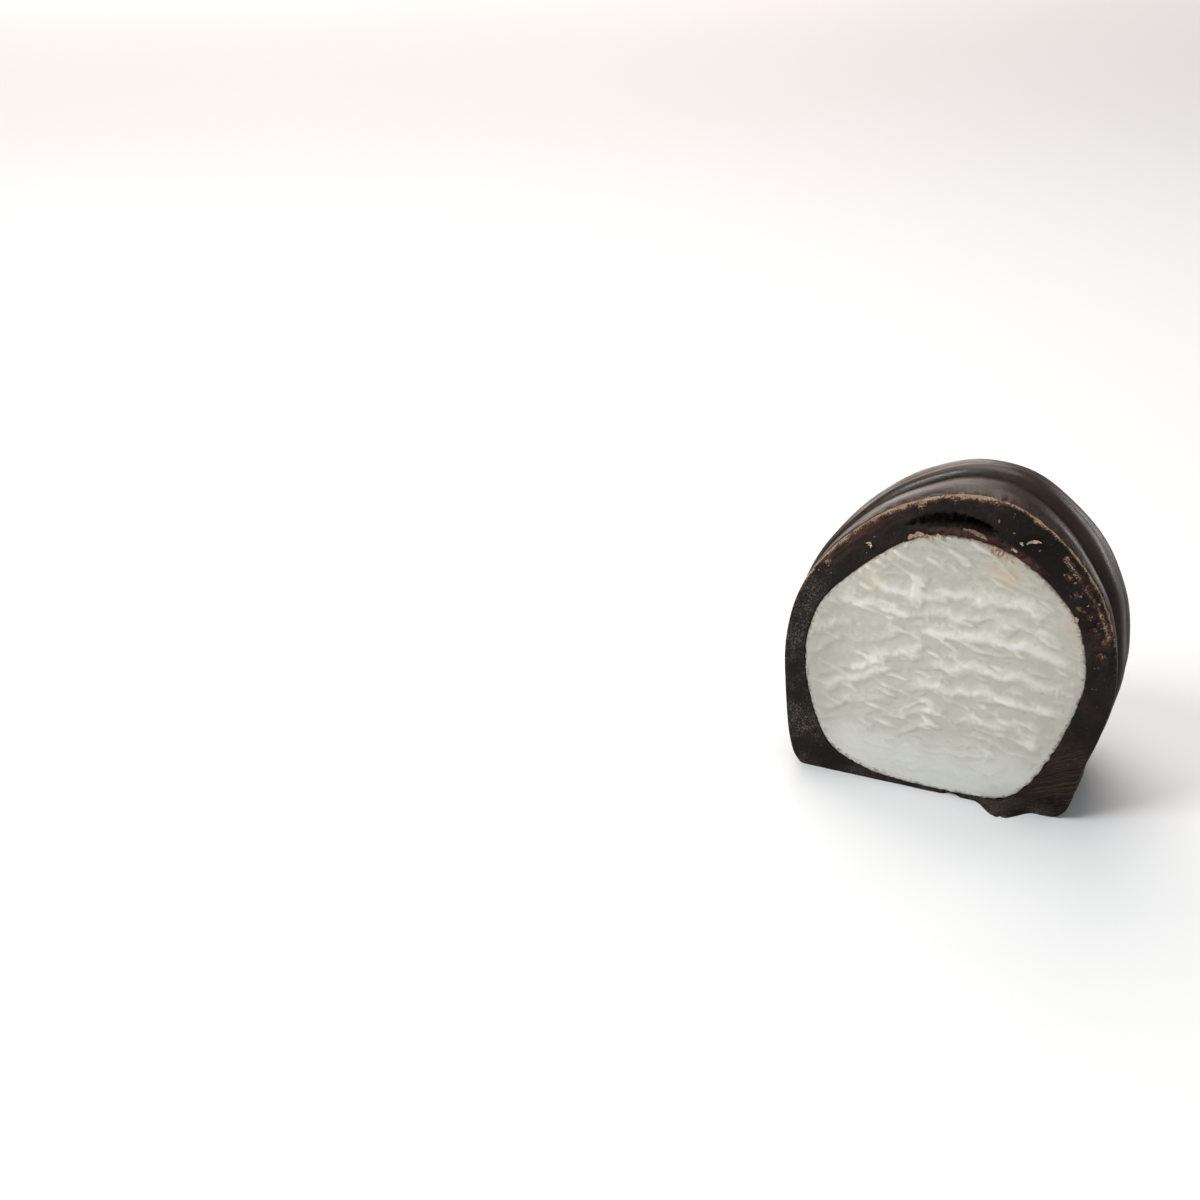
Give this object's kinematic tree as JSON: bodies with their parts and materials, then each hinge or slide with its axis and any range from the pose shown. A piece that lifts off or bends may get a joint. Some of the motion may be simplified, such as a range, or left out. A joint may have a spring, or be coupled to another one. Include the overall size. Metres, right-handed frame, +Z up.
{
  "type": "chocolate-coated marshmallow half",
  "caption": "Half of a dark-chocolate-coated marshmallow, cut across, with drizzled rolls round the coating and a wrinkled white filling.",
  "frame": {"origin": "on the base plane, under the middle of the bounding box", "axes": "+Z up, +Y from the cut face towards the round end, +X to the right when looking at the cut face"},
  "size_m": [0.0398, 0.0284, 0.0411],
  "materials": {
    "chocolate": "semi-gloss dark chocolate, matt and scratched on the cut",
    "marshmallow": "matt off-white, soft and wrinkled on the cut"
  },
  "bodies": {
    "root": {"chocolate_coating": "chocolate", "marshmallow_filling": "marshmallow"}
  },
  "joints": []
}
